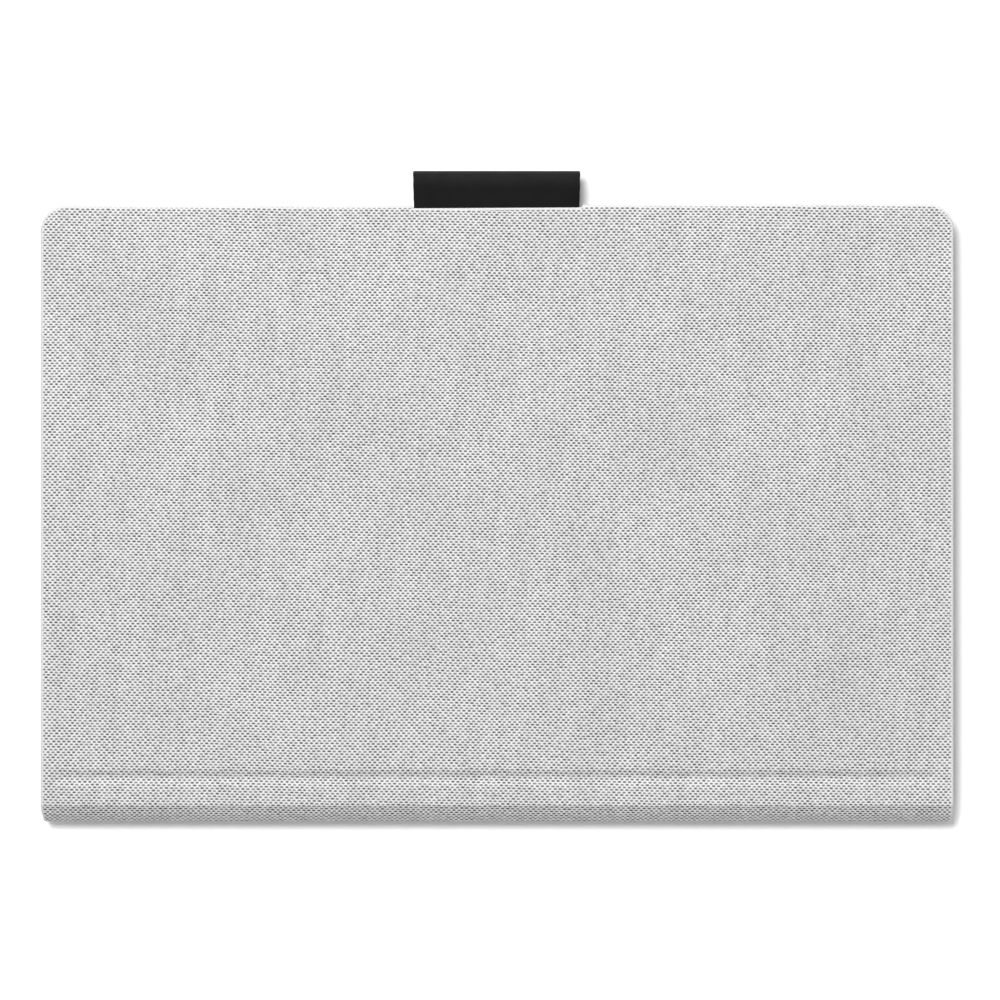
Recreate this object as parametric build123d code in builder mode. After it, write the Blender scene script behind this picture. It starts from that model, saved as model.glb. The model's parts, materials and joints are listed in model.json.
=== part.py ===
from build123d import *

import os

# Tablet keyboard case: a folio lying closed on its rear cover, with the keyboard face down under
# the front cover and a tablet tray between them.
# Millimetres. +X runs along the spine, +Y from the spine to the free edge, +Z up.
# The origin is the centre of the rear cover's outer face, so the closed case rests on z = 0.

os.makedirs("parts", exist_ok=True)

# ---- Driving dimensions ----

# Covers: woven fabric outside, a stiff board, a microfibre lining inside
case_width = 300.0
case_depth = 202.0
cover_corner = 8.0
fabric_t = 0.6
board_t = 1.2
lining_t = 0.4
turned_edge = 0.6
board_inset = 0.9
spine_board_inset = 2.8
fold_radius = 5.0
fold_slit_deg = 0.5
strip_depth = 14.2
crease_slit = 0.05
crease_board_gap = 2.0
crease_groove_w = 5.6
crease_groove_depth = 0.4
fold_board_gap = 0.5

# Closure magnets near the free edge of both covers
magnet_x = (-110.0, -60.0, 60.0, 110.0)
magnet_from_free = 3.4
magnet_w = 14.0
magnet_d = 3.0
magnet_t = 1.0
magnet_play = 0.1

# Stack between the covers, from the rear lining upwards
tray_gap = 0.3
tray_recess = 2.2
tray_floor_t = 1.2
tray_pad_t = 0.3
tablet_w = 285.0
tablet_d = 185.0
tablet_t = 5.7
tablet_play = 0.3
lip_gap = 0.1
lip_t = 0.5
lip_overhang = 1.0
key_rest_gap = 0.4

# Tablet tray
tray_wall = 1.6
tray_corner = 9.0
tray_edge_fillet = 1.2
tray_free_margin = 3.0
camera_w = 36.0
camera_d = 16.0
camera_x = 112.0
camera_from_free = 18.0
camera_corner = 7.0
side_slot_w = 18.0
side_slot_from_middle = 55.0
keys_slot_w = 58.0
keys_slot_x = -88.0
edge_slot_h = 4.4
pad_margin = 2.0

# Tray hinge
rod_r = 0.8
running_clearance = 0.05
fixed_play = 0.02
knuckle_r = 1.9
hinge_from_tray = 2.6
hinge_stations = (-120.0, -40.0, 40.0, 120.0)
tray_knuckle_len = 12.0
bracket_knuckle_len = 6.0
knuckle_side_gap = 0.2
leaf_t = 0.6
leaf_d = 4.6
leaf_len = 276.0
leaf_behind_hinge = 0.2
leaf_corner = 1.0
arm_half_t = 1.2
rivet_r = 0.9
rivet_head_r = 1.5
rivet_head_t = 0.4
rivet_from_station = 18.0

# Prop that holds the tray up
prop_w = 190.0
prop_len = 100.0
prop_t = 1.6
prop_pivot_from_hinge = 80.0
prop_barrel_r = 1.0
prop_side_gap = 1.0
prop_recess_behind = 3.6
prop_recess_beyond = 2.2
prop_pin_r = 0.6
prop_pin_len = 9.0
prop_recess_corner = 1.5
prop_facing_t = 0.25
prop_facing_from_barrel = 2.0
prop_foot_d = 5.0
prop_magnet_x = (-70.0, -25.0, 25.0, 70.0)
prop_magnet_from_foot = 5.0
prop_magnet_w = 12.0
prop_magnet_d = 4.0

# Steel strip in the rear cover that the prop's foot magnets hold on to
catch_y = 9.0
catch_d = 10.0
catch_t = 0.5
catch_corner = 1.0
catch_play = 0.1

# Keyboard deck inside the front cover
deck_half_w = 142.0
deck_crease_y = -79.0
deck_free_y = 95.0
deck_corner = 5.0
deck_wall = 1.5
deck_lining_play = 0.2
key_proud = 1.0
deck_plate_t = 1.0
deck_cavity = 3.3
deck_base_t = 0.6
sheet_t = 0.3
sheet_corner = 2.0
base_play = 0.1

# Screws that hold the deck's base plate
screw_outer_x = 136.5
screw_crease_x = (-screw_outer_x, -68.0, 0.0, 68.0, screw_outer_x)
screw_free_x = (-screw_outer_x, -70.0, 70.0, screw_outer_x)
screw_from_crease = 3.1
screw_from_free = 3.6
boss_r = 1.45
screw_r = 0.65
screw_head_r = 1.2
screw_head_t = 0.4
screw_len = 2.4

# Keys
key_unit = 18.5
row_units = 15.0
key_gap = 3.0
key_corner = 1.4
key_draw_in = 0.5
key_crown_h = 1.1
key_opening_play = 0.25
key_flange = 0.55
key_flange_t = 0.35
key_flange_gap = 0.05
function_pitch = 12.5
function_key_count = 14
key_field_margin = 6.0
dome_r = 2.2
dome_gap = 0.05
dome_taper = 20
arrow_start = 12.0
arrow_gap = 1.5

# Touchpad
pad_w = 110.0
pad_d = 54.0
pad_centre_y = 64.0
pad_t = 1.0
pad_sunk = 0.1
pad_play = 0.3
pad_flange = 1.0
pad_flange_t = 0.4
pad_corner = 3.0
pad_switch_gap = 0.8
pad_switch_from_edge = 6.0
pad_switch_w = 6.0
pad_switch_corner = 0.5
pad_button_r = 1.6
pad_button_t = 0.4

# Status lights
window_x = (90.0, 96.0, 102.0)
window_r = 0.7
window_sunk = 0.05
window_len = 1.2

# Charging socket in the deck's right side
usb_y = 62.0
usb_w = 9.0
usb_h = 3.2
usb_d = 7.4
usb_corner = 1.5
usb_play = 0.05
usb_sunk = 0.2
usb_shell_t = 0.3
usb_tongue_w = 6.6
usb_tongue_t = 0.7

# Power switch in the deck's left side
switch_y = 52.0
switch_travel = 3.0
switch_knob_len = 4.0
switch_knob_h = 1.6
switch_knob_out = 0.7
switch_knob_corner = 0.7
switch_plate_len = 9.0
switch_plate_h = 2.6
switch_plate_t = 0.8
switch_plate_gap = 0.1
slot_play = 0.15

# Electronics in the palm rest
pcb_t = 0.8
pcb_under_base = 0.2
pcb_x0 = 62.0
pcb_from_wall = 1.0
pcb_from_keys = 4.0
pcb_from_free = 8.0
chip_t = 0.9
large_chip_w = 9.0
large_chip_places = ((85.0, 56.0), (85.0, 76.0))
small_chip_w = 6.0
small_chip_d = 4.0
small_chip_places = ((105.0, 50.0), (105.0, 78.0))
battery_w = 36.0
battery_d = 46.0
battery_t = 2.6
battery_corner = 2.0
battery_places = ((-118.0, 64.0), (-79.0, 64.0))
battery_gap = 0.2

# Rubber bumpers that keep the deck off the tray's rim
bumper_x = 139.6
bumper_y = (-60.0, 10.0, 85.0)
bumper_len = 8.0
bumper_w = 1.8
bumper_gap = 0.15

# Pen loop
pen_r = 5.0
loop_wall = 0.9
loop_len = 54.8
loop_tab_d = 14.0
loop_notch_play = 0.2
tab_under_fabric = 0.05

# ---- Places worked out from the driving dimensions ----

half_w = case_width / 2
spine_y = -case_depth / 2
free_y = case_depth / 2
cover_t = fabric_t + board_t + lining_t
fold_y = spine_y + fold_radius
crease_y = spine_y + strip_depth

tray_z = cover_t + tray_gap
floor_z = tray_z + tray_recess
bay_z = floor_z + tray_floor_t
pad_top_z = bay_z + tray_pad_t
lip_z = pad_top_z + tablet_t + lip_gap
rim_top_z = lip_z + lip_t

key_top_z = rim_top_z + key_rest_gap
deck_z = key_top_z + key_proud
cavity_z = deck_z + deck_plate_t
deck_base_z = cavity_z + deck_cavity
front_board_z = deck_base_z + deck_base_t
front_fabric_z = front_board_z + board_t
closed_h = front_fabric_z + fabric_t
front_inner_z = closed_h - cover_t

rear_fold = (fold_y, fold_radius)
front_fold = (fold_y, closed_h - fold_radius)

bay_w = tablet_w + 2 * tablet_play
bay_d = tablet_d + 2 * tablet_play
tray_w = bay_w + 2 * tray_wall
tray_d = bay_d + 2 * tray_wall
tray_free_y = free_y - tray_free_margin
tray_mid_y = tray_free_y - tray_d / 2
tray_spine_y = tray_free_y - tray_d
bay_corner = tray_corner - tray_wall

rear_board_top_z = fabric_t + board_t
rear_magnet_z = rear_board_top_z - magnet_t
catch_z = rear_board_top_z - catch_t

hinge_y = tray_spine_y - hinge_from_tray
hinge_z = cover_t + leaf_t + knuckle_r
leaf_mid_y = hinge_y - leaf_behind_hinge

prop_y = hinge_y + prop_pivot_from_hinge
prop_z = tray_z + running_clearance * 2 + prop_barrel_r
prop_end_y = prop_y + prop_len

deck_mid_y = (deck_crease_y + deck_free_y) / 2
deck_d = deck_free_y - deck_crease_y
dome_sheet_z = deck_base_z - 2 * sheet_t
membrane_z = deck_base_z - sheet_t
key_flange_z = cavity_z + key_flange_gap
key_field_y = deck_crease_y + key_field_margin
first_row_y = key_field_y + function_pitch
key_field_end_y = first_row_y + 5 * key_unit

loop_y = free_y + pen_r + loop_wall
tab_top_z = front_fabric_z - tab_under_fabric
loop_z = tab_top_z - pen_r - loop_wall


def save(piece, name):
    """Label a finished sub-part and write its STEP file."""
    piece.part.label = name
    export_step(piece.part, f"parts/{name}.step")


# ---- Shapes shared by the four cover panels ----


def cover_outline(y_from, y_to, inset):
    """Plan outline of a cover panel, drawn in by the inset, with rounded corners at the free edge."""
    with BuildSketch() as outline:
        with Locations((0, (y_from + y_to) / 2)):
            Rectangle(case_width - 2 * inset, y_to - y_from)
        fillet(outline.vertices().group_by(Axis.Y)[-1], cover_corner - inset)
    return outline.sketch


def fold_layer(fold, outer_r, inner_r, start_deg):
    """Half of a layer bent round one long corner of the spine, as wide as the case."""
    sweep_deg = 45 - fold_slit_deg
    with BuildPart() as layer:
        with BuildSketch(Plane.YZ):
            with BuildLine():
                outside = CenterArc(fold, outer_r, start_deg, sweep_deg)
                inside = CenterArc(fold, inner_r, start_deg, sweep_deg)
                Line(outside @ 0, inside @ 0)
                Line(outside @ 1, inside @ 1)
            make_face()
        extrude(amount=half_w - turned_edge, both=True)
    return layer.part


def fabric_fold(fold, start_deg):
    """Half of the fabric's bend at one fold."""
    return fold_layer(fold, fold_radius, fold_radius - fabric_t, start_deg)


def lining_fold(fold, start_deg):
    """Half of the lining's bend at one fold."""
    inner_r = fold_radius - cover_t
    return fold_layer(fold, inner_r + lining_t, inner_r, start_deg)


def cross_bar(y_from, y_to, z_from, z_to, half_length):
    """A bar along the spine direction with a rectangular section."""
    with BuildPart() as bar:
        with BuildSketch(Plane.YZ):
            with Locations(((y_from + y_to) / 2, (z_from + z_to) / 2)):
                Rectangle(y_to - y_from, z_to - z_from)
        extrude(amount=half_length, both=True)
    return bar.part


def slab(outline, z_from, z_to):
    """A flat layer with the given plan outline between two heights."""
    with BuildPart() as layer:
        with BuildSketch(Plane.XY.offset(z_from)):
            add(outline)
        extrude(amount=z_to - z_from)
    return layer.part


def rounded_block(x, y, width, depth, corner, z_from, z_to):
    """A flat block with rounded corners in plan."""
    with BuildPart() as block:
        with BuildSketch(Plane.XY.offset(z_from)):
            with Locations((x, y)):
                RectangleRounded(width, depth, corner)
        extrude(amount=z_to - z_from)
    return block.part


def magnet_blocks(places, width, depth, z_from):
    """A row of flat bar magnets, or the pockets that hold them."""
    with BuildPart() as blocks:
        with BuildSketch(Plane.XY.offset(z_from)):
            with Locations(*places):
                Rectangle(width, depth)
        extrude(amount=magnet_t)
    return blocks.part


def closure_magnets(play, z_from):
    """The magnets near the free edge, or their pockets when play is added all round."""
    places = [(x, free_y - magnet_from_free) for x in magnet_x]
    return magnet_blocks(places, magnet_w + 2 * play, magnet_d + 2 * play, z_from)


def catch_strip(play):
    """The steel strip under the rear lining, or its pocket when play is added all round."""
    return rounded_block(
        0,
        catch_y,
        prop_w + 2 * play,
        catch_d + 2 * play,
        catch_corner,
        catch_z,
        catch_z + catch_t,
    )


# ---- Rear cover ----

with BuildPart() as rear_cover_fabric:
    add(slab(cover_outline(fold_y, free_y, 0), 0, cover_t))
    add(
        slab(cover_outline(fold_y, free_y - turned_edge, turned_edge), fabric_t, cover_t),
        mode=Mode.SUBTRACT,
    )
    add(fabric_fold(rear_fold, 225 + fold_slit_deg))
save(rear_cover_fabric, "rear_cover_fabric")

with BuildPart() as rear_cover_lining:
    add(slab(cover_outline(fold_y, free_y - turned_edge, turned_edge), cover_t - lining_t, cover_t))
    add(lining_fold(rear_fold, 225 + fold_slit_deg))
save(rear_cover_lining, "rear_cover_lining")

with BuildPart() as rear_cover_board:
    add(
        slab(
            cover_outline(fold_y + fold_board_gap, free_y - board_inset, board_inset),
            fabric_t,
            rear_board_top_z,
        )
    )
    add(closure_magnets(magnet_play, rear_magnet_z), mode=Mode.SUBTRACT)
    add(catch_strip(catch_play), mode=Mode.SUBTRACT)
save(rear_cover_board, "rear_cover_board")

with BuildPart() as rear_closure_magnets:
    add(closure_magnets(0, rear_magnet_z))
save(rear_closure_magnets, "rear_closure_magnets")

with BuildPart() as prop_catch_plate:
    add(catch_strip(0))
save(prop_catch_plate, "prop_catch_plate")

# ---- Tray hinge: a bracket riveted inside the rear cover, and one long rod ----


def knuckles(x_centres, length, outer_r):
    """Barrels on the tray hinge axis."""
    with BuildPart() as barrels:
        for x in x_centres:
            with BuildSketch(Plane.YZ.offset(x)):
                with Locations((hinge_y, hinge_z)):
                    Circle(outer_r)
            extrude(amount=length / 2, both=True)
    return barrels.part


bracket_offset = tray_knuckle_len / 2 + knuckle_side_gap + bracket_knuckle_len / 2
bracket_knuckle_x = [x + side * bracket_offset for x in hinge_stations for side in (-1, 1)]
rivet_x = [x + side * rivet_from_station for x in hinge_stations for side in (-1, 1)]

with BuildPart() as tray_hinge_bracket:
    add(rounded_block(0, leaf_mid_y, leaf_len, leaf_d, leaf_corner, cover_t, cover_t + leaf_t))
    for x in bracket_knuckle_x:
        with BuildSketch(Plane.YZ.offset(x)):
            with Locations((hinge_y, hinge_z)):
                Circle(knuckle_r)
            with Locations((hinge_y, cover_t + (hinge_z - cover_t) / 2)):
                Rectangle(2 * knuckle_r, hinge_z - cover_t)
        extrude(amount=bracket_knuckle_len / 2, both=True)
    add(knuckles([0], leaf_len, rod_r + fixed_play), mode=Mode.SUBTRACT)
    with Locations(*[(x, leaf_mid_y, cover_t + leaf_t) for x in rivet_x]):
        Hole(rivet_r + fixed_play, depth=leaf_t)
save(tray_hinge_bracket, "tray_hinge_bracket")

rod_end_x = hinge_stations[-1] + bracket_offset + bracket_knuckle_len / 2

with BuildPart() as tray_hinge_rod:
    add(knuckles([0], 2 * rod_end_x, rod_r))
save(tray_hinge_rod, "tray_hinge_rod")

with BuildPart() as bracket_rivets:
    with BuildSketch(Plane.XY.offset(cover_t)):
        with Locations(*[(x, leaf_mid_y) for x in rivet_x]):
            Circle(rivet_r)
    extrude(amount=leaf_t)
    with BuildSketch(Plane.XY.offset(cover_t + leaf_t)):
        with Locations(*[(x, leaf_mid_y) for x in rivet_x]):
            Circle(rivet_head_r)
    extrude(amount=rivet_head_t)
save(bracket_rivets, "bracket_rivets")

# ---- Spine ----

spine_low_z = fold_radius
spine_high_z = closed_h - fold_radius
spine_inner_y = spine_y + cover_t

with BuildPart() as spine_fabric:
    add(cross_bar(spine_y, spine_inner_y, spine_low_z, spine_high_z, half_w))
    add(
        cross_bar(spine_y + fabric_t, spine_inner_y, spine_low_z, spine_high_z, half_w - turned_edge),
        mode=Mode.SUBTRACT,
    )
    add(fabric_fold(rear_fold, 180))
    add(fabric_fold(front_fold, 135 + fold_slit_deg))
save(spine_fabric, "spine_fabric")

with BuildPart() as spine_board:
    add(
        cross_bar(
            spine_y + fabric_t,
            spine_y + fabric_t + board_t,
            spine_low_z + fold_board_gap,
            spine_high_z - fold_board_gap,
            half_w - spine_board_inset,
        )
    )
save(spine_board, "spine_board")

with BuildPart() as spine_lining:
    add(cross_bar(spine_inner_y - lining_t, spine_inner_y, spine_low_z, spine_high_z, half_w - turned_edge))
    add(lining_fold(rear_fold, 180))
    add(lining_fold(front_fold, 135 + fold_slit_deg))
save(spine_lining, "spine_lining")

# ---- Hinge strip between the spine and the crease ----


def crease_groove():
    """The shallow round groove pressed into the fabric along the crease."""
    half_groove = crease_groove_w / 2
    groove_r = (half_groove**2 + crease_groove_depth**2) / (2 * crease_groove_depth)
    with BuildPart() as groove:
        with BuildSketch(Plane.YZ):
            with Locations((crease_y, closed_h - crease_groove_depth + groove_r)):
                Circle(groove_r)
        extrude(amount=half_w, both=True)
    return groove.part


strip_end_y = crease_y - crease_slit / 2
front_start_y = crease_y + crease_slit / 2

with BuildPart() as hinge_strip_fabric:
    add(cross_bar(fold_y, strip_end_y, front_inner_z, closed_h, half_w))
    add(
        cross_bar(fold_y, strip_end_y, front_inner_z, front_fabric_z, half_w - turned_edge),
        mode=Mode.SUBTRACT,
    )
    add(crease_groove(), mode=Mode.SUBTRACT)
    add(fabric_fold(front_fold, 90))
save(hinge_strip_fabric, "hinge_strip_fabric")

with BuildPart() as hinge_strip_board:
    add(
        cross_bar(
            fold_y + fold_board_gap,
            crease_y - crease_board_gap,
            front_board_z,
            front_fabric_z,
            half_w - board_inset,
        )
    )
save(hinge_strip_board, "hinge_strip_board")

with BuildPart() as hinge_strip_lining:
    add(cross_bar(fold_y, strip_end_y, front_inner_z, front_inner_z + lining_t, half_w - turned_edge))
    add(lining_fold(front_fold, 90))
save(hinge_strip_lining, "hinge_strip_lining")

# ---- Front cover ----

loop_notch_w = loop_len + 2 * loop_notch_play
loop_tab_y = free_y - loop_tab_d

with BuildPart() as front_cover_fabric:
    add(slab(cover_outline(front_start_y, free_y, 0), front_inner_z, closed_h))
    add(
        slab(
            cover_outline(front_start_y, free_y - turned_edge, turned_edge),
            front_inner_z,
            front_fabric_z,
        ),
        mode=Mode.SUBTRACT,
    )
    add(crease_groove(), mode=Mode.SUBTRACT)
    with BuildSketch(Plane.XY.offset(front_inner_z)):
        with Locations((0, free_y)):
            Rectangle(loop_notch_w, 4 * turned_edge)
    extrude(amount=front_fabric_z - front_inner_z, mode=Mode.SUBTRACT)
save(front_cover_fabric, "front_cover_fabric")

with BuildPart() as front_cover_board:
    add(
        slab(
            cover_outline(crease_y + crease_board_gap, free_y - board_inset, board_inset),
            front_board_z,
            front_fabric_z,
        )
    )
    with BuildSketch(Plane.XY.offset(front_board_z)):
        with Locations((0, free_y)):
            Rectangle(loop_notch_w, 2 * (loop_tab_d + loop_notch_play))
    extrude(amount=board_t, mode=Mode.SUBTRACT)
    add(closure_magnets(magnet_play, front_board_z), mode=Mode.SUBTRACT)
save(front_cover_board, "front_cover_board")

with BuildPart() as front_cover_lining:
    add(
        slab(
            cover_outline(front_start_y, free_y - turned_edge, turned_edge),
            front_inner_z,
            front_inner_z + lining_t,
        )
    )
    add(
        rounded_block(
            0,
            deck_mid_y,
            2 * (deck_half_w + deck_lining_play),
            deck_d + 2 * deck_lining_play,
            deck_corner,
            front_inner_z,
            front_inner_z + lining_t,
        ),
        mode=Mode.SUBTRACT,
    )
save(front_cover_lining, "front_cover_lining")

with BuildPart() as front_closure_magnets:
    add(closure_magnets(0, front_board_z))
save(front_closure_magnets, "front_closure_magnets")

# The loop is one strip wound into a tube, with its tail glued in the board's notch
with BuildPart() as pen_loop:
    with BuildSketch(Plane.YZ):
        with Locations((loop_y, loop_z)):
            Circle(pen_r + loop_wall)
        with Locations(((loop_tab_y + loop_y) / 2, tab_top_z - loop_wall / 2)):
            Rectangle(loop_y - loop_tab_y, loop_wall)
        with Locations((loop_y, loop_z)):
            Circle(pen_r, mode=Mode.SUBTRACT)
    extrude(amount=loop_len / 2, both=True)
save(pen_loop, "pen_loop")

# ---- Tablet tray ----

prop_recess_w = prop_w + 2 * prop_side_gap
prop_recess_y0 = prop_y - prop_recess_behind
prop_recess_y1 = prop_end_y + prop_recess_beyond
camera_y = tray_free_y - camera_from_free

with BuildPart() as tray_shell:
    add(rounded_block(0, tray_mid_y, tray_w, tray_d, tray_corner, tray_z, bay_z))
    fillet(tray_shell.faces().sort_by(Axis.Z)[0].edges(), tray_edge_fillet)
    with BuildSketch(Plane.XY.offset(tray_z)):
        with Locations((0, (prop_recess_y0 + prop_recess_y1) / 2)):
            RectangleRounded(prop_recess_w, prop_recess_y1 - prop_recess_y0, prop_recess_corner)
    extrude(amount=tray_recess, mode=Mode.SUBTRACT)
    with BuildSketch(Plane.XY.offset(tray_z)):
        with Locations((camera_x, camera_y)):
            RectangleRounded(camera_w, camera_d, camera_corner)
    extrude(amount=bay_z - tray_z, mode=Mode.SUBTRACT)
    for x in hinge_stations:
        with BuildSketch(Plane.YZ.offset(x)):
            with Locations((hinge_y, hinge_z)):
                Circle(knuckle_r)
            with Locations(((hinge_y + tray_spine_y + tray_wall) / 2, hinge_z)):
                Rectangle(tray_spine_y + tray_wall - hinge_y, 2 * arm_half_t)
        extrude(amount=tray_knuckle_len / 2, both=True)
    add(knuckles([0], leaf_len, rod_r + running_clearance), mode=Mode.SUBTRACT)
    with BuildSketch(Plane.YZ):
        with Locations((prop_y, prop_z)):
            Circle(prop_pin_r + fixed_play)
    extrude(amount=prop_recess_w / 2 + prop_pin_len / 2, both=True, mode=Mode.SUBTRACT)
save(tray_shell, "tray_shell")

edge_slot_z = (pad_top_z + lip_z) / 2

with BuildPart() as tray_rim:
    add(rounded_block(0, tray_mid_y, tray_w, tray_d, tray_corner, bay_z, rim_top_z))
    fillet(tray_rim.edges().group_by(Axis.Z)[-1], tray_wall / 3)
    add(
        rounded_block(0, tray_mid_y, bay_w, bay_d, bay_corner, bay_z, lip_z),
        mode=Mode.SUBTRACT,
    )
    add(
        rounded_block(
            0,
            tray_mid_y,
            bay_w - 2 * lip_overhang,
            bay_d - 2 * lip_overhang,
            bay_corner - lip_overhang,
            lip_z,
            rim_top_z,
        ),
        mode=Mode.SUBTRACT,
    )
    # Charging port on the right, speaker slots on both short sides, side keys on the free edge
    with Locations(
        (tray_w / 2, tray_mid_y, edge_slot_z),
        (tray_w / 2, tray_mid_y + side_slot_from_middle, edge_slot_z),
        (tray_w / 2, tray_mid_y - side_slot_from_middle, edge_slot_z),
        (-tray_w / 2, tray_mid_y + side_slot_from_middle, edge_slot_z),
        (-tray_w / 2, tray_mid_y - side_slot_from_middle, edge_slot_z),
    ):
        Box(3 * tray_wall, side_slot_w, edge_slot_h, mode=Mode.SUBTRACT)
    with Locations((keys_slot_x, tray_free_y, edge_slot_z)):
        Box(keys_slot_w, 3 * tray_wall, edge_slot_h, mode=Mode.SUBTRACT)
save(tray_rim, "tray_rim")

with BuildPart() as tray_pad:
    add(
        rounded_block(
            0,
            tray_mid_y,
            bay_w - 2 * pad_margin,
            bay_d - 2 * pad_margin,
            bay_corner,
            bay_z,
            pad_top_z,
        )
    )
    with BuildSketch(Plane.XY.offset(bay_z)):
        with Locations((camera_x, camera_y)):
            RectangleRounded(camera_w, camera_d, camera_corner)
    extrude(amount=tray_pad_t, mode=Mode.SUBTRACT)
save(tray_pad, "tray_pad")

# ---- Prop ----

prop_pin_bore_r = prop_pin_r + running_clearance
prop_low_z = prop_z - prop_t / 2
foot_y = prop_end_y - prop_foot_d
facing_y = prop_y + prop_barrel_r + prop_facing_from_barrel


def foot_magnets(play):
    """The magnets beside the prop's foot, or their pockets when play is added all round."""
    places = [(x, foot_y - prop_magnet_from_foot) for x in prop_magnet_x]
    return magnet_blocks(places, prop_magnet_w + 2 * play, prop_magnet_d + 2 * play, prop_low_z)


with BuildPart() as prop_panel:
    with BuildSketch(Plane.YZ):
        with Locations((prop_y, prop_z)):
            Circle(prop_barrel_r)
        with Locations(((prop_y + foot_y) / 2, prop_z)):
            Rectangle(foot_y - prop_y, prop_t)
        with Locations((prop_y, prop_z)):
            Circle(prop_pin_bore_r, mode=Mode.SUBTRACT)
    extrude(amount=prop_w / 2, both=True)
    add(foot_magnets(magnet_play), mode=Mode.SUBTRACT)
save(prop_panel, "prop_panel")

with BuildPart() as prop_hinge_pins:
    for side in (-1, 1):
        with BuildSketch(Plane.YZ.offset(side * prop_recess_w / 2)):
            with Locations((prop_y, prop_z)):
                Circle(prop_pin_r)
        extrude(amount=prop_pin_len / 2, both=True)
save(prop_hinge_pins, "prop_hinge_pins")

with BuildPart() as prop_facing:
    with BuildSketch(Plane.XY.offset(prop_low_z - prop_facing_t)):
        with Locations((0, (facing_y + foot_y) / 2)):
            Rectangle(prop_w, foot_y - facing_y)
    extrude(amount=prop_facing_t)
save(prop_facing, "prop_facing")

with BuildPart() as prop_magnets:
    add(foot_magnets(0))
save(prop_magnets, "prop_magnets")

with BuildPart() as prop_foot:
    with BuildSketch(Plane.YZ):
        with Locations(((foot_y + prop_end_y - prop_t / 2) / 2, prop_z)):
            Rectangle(prop_foot_d - prop_t / 2, prop_t)
        with Locations((prop_end_y - prop_t / 2, prop_z)):
            Circle(prop_t / 2)
    extrude(amount=prop_w / 2, both=True)
save(prop_foot, "prop_foot")

# ---- Key layout: each key is (start in units, width in units, row centre, depth) ----

key_depth = key_unit - key_gap
function_depth = function_pitch - key_gap


def row_centre(row):
    """Centre of a full-height row, counted from the number row towards the space bar."""
    return first_row_y + key_unit * (row + 0.5)


def run_of_keys(start, count, row, width=1.0):
    """Equal keys side by side in a full-height row."""
    return [(start + i * width, width, row_centre(row), key_depth) for i in range(count)]


function_units = row_units / function_key_count
arrow_depth = (key_depth - arrow_gap) / 2
arrow_shift = (arrow_depth + arrow_gap) / 2
upper_arrow_y = row_centre(4) - arrow_shift
lower_arrow_y = row_centre(4) + arrow_shift

key_groups = {
    "function_row_keys": [
        (i * function_units, function_units, key_field_y + function_pitch / 2, function_depth)
        for i in range(function_key_count)
    ],
    "number_row_keys": run_of_keys(0, 13, 0),
    "backspace_key": run_of_keys(13, 1, 0, 2.0),
    "tab_key": run_of_keys(0, 1, 1, 1.5),
    "upper_letter_keys": run_of_keys(1.5, 12, 1) + run_of_keys(13.5, 1, 1, 1.5),
    "caps_lock_key": run_of_keys(0, 1, 2, 1.75),
    "home_letter_keys": run_of_keys(1.75, 11, 2),
    "enter_key": run_of_keys(12.75, 1, 2, 2.25),
    "left_shift_key": run_of_keys(0, 1, 3, 2.25),
    "lower_letter_keys": run_of_keys(2.25, 10, 3),
    "right_shift_key": run_of_keys(12.25, 1, 3, 2.75),
    "modifier_keys": run_of_keys(0, 1, 4, 1.25)
    + run_of_keys(1.25, 1, 4)
    + run_of_keys(2.25, 2, 4, 1.25)
    + run_of_keys(10, 2, 4),
    "space_key": run_of_keys(4.75, 1, 4, 5.25),
    "arrow_keys": [
        (arrow_start, 1.0, lower_arrow_y, arrow_depth),
        (arrow_start + 1, 1.0, upper_arrow_y, arrow_depth),
        (arrow_start + 1, 1.0, lower_arrow_y, arrow_depth),
        (arrow_start + 2, 1.0, lower_arrow_y, arrow_depth),
    ],
}
all_keys = [key for keys in key_groups.values() for key in keys]


def key_x(key):
    """Centre of a key across the keyboard."""
    start, width = key[0], key[1]
    return (start + width / 2 - row_units / 2) * key_unit


def key_sketch(keys, z, grow):
    """Rounded rectangles for a set of keys at one height, each grown on every side."""
    with BuildSketch(Plane.XY.offset(z)) as tops:
        for key in keys:
            with Locations((key_x(key), key[2])):
                RectangleRounded(
                    key[1] * key_unit - key_gap + 2 * grow,
                    key[3] + 2 * grow,
                    key_corner,
                )
    return tops.sketch


def key_caps(keys):
    """Keys with a tapered crown, a straight skirt and a flange that keeps each one in the deck."""
    flange_top_z = key_flange_z + key_flange_t
    with BuildPart() as caps:
        for key in keys:
            add(key_sketch([key], key_top_z, -key_draw_in))
            add(key_sketch([key], key_top_z + key_crown_h, 0))
            loft()
        add(key_sketch(keys, key_top_z + key_crown_h, 0))
        extrude(amount=flange_top_z - key_top_z - key_crown_h)
        add(key_sketch(keys, key_flange_z, key_flange))
        extrude(amount=key_flange_t)
    return caps.part


for group, group_keys in key_groups.items():
    with BuildPart() as key_group:
        add(key_caps(group_keys))
    save(key_group, group)

# ---- Keyboard deck ----

screw_places = [(x, deck_crease_y + screw_from_crease) for x in screw_crease_x]
screw_places += [(x, deck_free_y - screw_from_free) for x in screw_free_x]
window_places = [(x, deck_crease_y + screw_from_crease) for x in window_x]
usb_z = cavity_z + deck_cavity / 2
pad_opening_w = pad_w + 2 * pad_play
pad_opening_d = pad_d + 2 * pad_play
wall_inner_x = deck_half_w - deck_wall

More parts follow.
